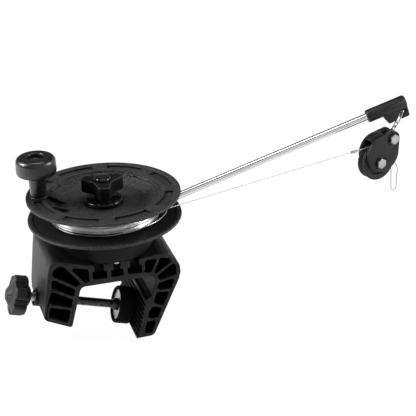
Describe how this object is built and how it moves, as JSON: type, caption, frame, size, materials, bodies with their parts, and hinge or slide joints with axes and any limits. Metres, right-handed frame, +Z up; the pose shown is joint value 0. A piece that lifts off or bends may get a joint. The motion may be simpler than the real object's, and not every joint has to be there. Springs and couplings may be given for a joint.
{
  "type": "downrigger",
  "caption": "Clamp-on manual fishing downrigger: moulded clamp bracket with slide rails, cranked cable reel, rising steel boom and a hanging pulley block.",
  "frame": {"origin": "on the spool axis, at the flat underside of the clamp throat, which rests on the gunwale", "axes": "+Z up along the spool axis, +X towards the boom tip, -Y towards whoever winds the reel"},
  "size_m": [0.466, 0.16, 0.2005],
  "materials": {
    "black_moulding": "black glass-filled moulding with a fine grain",
    "spool_moulding": "black moulding with a coarser spark-eroded grain",
    "gloss_black": "glossy black moulding",
    "rubber": "black rubber pad",
    "polished_steel": "polished stainless rod",
    "bright_steel": "bright stainless fasteners",
    "dark_steel": "dull plated steel",
    "cable_steel": "stranded stainless cable",
    "brass": "turned brass",
    "acetal": "natural acetal",
    "brake_lining": "pressed brake lining"
  },
  "bodies": {
    "bracket": {"clamp_bracket": "black_moulding", "screw_insert": "brass"},
    "pad": {"pressure_pad": "rubber", "pad_washer": "bright_steel", "pad_retainer": "dark_steel"},
    "screw": {"clamp_screw": "dark_steel", "clamp_knob": "black_moulding"},
    "base": {"base_housing": "black_moulding", "latch_spring": "bright_steel", "spindle": "bright_steel", "brake_disc": "brake_lining", "boom_rod": "polished_steel", "boom_set_screw": "dark_steel", "boom_tip": "black_moulding", "tip_pin": "bright_steel", "cable_span": "cable_steel"},
    "spool": {"spool_lower": "spool_moulding", "spool_upper": "spool_moulding", "spool_bushing": "acetal", "cable_core": "cable_steel", "cable_winding": "cable_steel", "crank_post": "black_moulding", "crank_screw": "dark_steel"},
    "crank": {"crank_knob": "black_moulding"},
    "clutch_plate": {"clutch_disc": "gloss_black"},
    "clutch": {"clutch_knob": "black_moulding", "clutch_cap": "gloss_black"},
    "pulley": {"tip_link": "bright_steel", "chain_link": "bright_steel", "swivel": "dark_steel", "pulley_cheek_front": "black_moulding", "pulley_cheek_rear": "black_moulding", "sheave_sleeve": "brass", "sheave_bolt": "bright_steel", "sheave_nut": "bright_steel", "hanger_bolt": "bright_steel", "hanger_nut": "bright_steel", "hanger_sleeve": "brass", "crimp_sleeve": "dark_steel", "cable_loop": "cable_steel"},
    "sheave": {"sheave": "black_moulding"}
  },
  "joints": [
    {"name": "base_slide", "type": "slide", "parent": "bracket", "child": "base", "axis": [0, 1, 0], "range_m": [0, 0.08]},
    {"name": "pad_travel", "type": "slide", "parent": "bracket", "child": "pad", "axis": [0.9636, 0, -0.2672], "range_m": [-0.045, 0]},
    {"name": "screw_turn", "type": "hinge", "parent": "pad", "child": "screw", "pos_m": [0.0199, 0, -0.0548], "axis": [0.9636, 0, -0.2672], "range_deg": [-10220, 0]},
    {"name": "spool_spin", "type": "hinge", "parent": "base", "child": "spool", "pos_m": [0, 0, 0.066], "axis": [0, 0, 1], "continuous": true},
    {"name": "crank_knob_spin", "type": "hinge", "parent": "spool", "child": "crank", "pos_m": [-0.0651, 0.0136, 0.1], "axis": [0, 0, 1], "continuous": true},
    {"name": "clutch_lift", "type": "slide", "parent": "base", "child": "clutch_plate", "axis": [0, 0, 1], "range_m": [0, 0.0008]},
    {"name": "clutch_turn", "type": "hinge", "parent": "clutch_plate", "child": "clutch", "pos_m": [0, 0, 0.085], "axis": [0, 0, 1], "range_deg": [0, 180]},
    {"name": "pulley_swing", "type": "hinge", "parent": "base", "child": "pulley", "pos_m": [0.34404, 0.038, 0.10819], "axis": [0.9618, 0, 0.2736], "range_deg": [-20, 20], "deforming": ["cable_span"]},
    {"name": "sheave_spin", "type": "hinge", "parent": "pulley", "child": "sheave", "pos_m": [0.31106, 0.02857, 0.05869], "axis": [-0.2749, 0.9615, 0], "continuous": true}
  ],
  "couplings": [
    {"joint": "screw_turn", "follows": "pad_travel", "rad_per_m": 3957.9},
    {"joint": "clutch_lift", "follows": "clutch_turn", "m_per_rad": 0.00025266},
    {"joint": "sheave_spin", "follows": "spool_spin", "ratio": 3.1721}
  ]
}
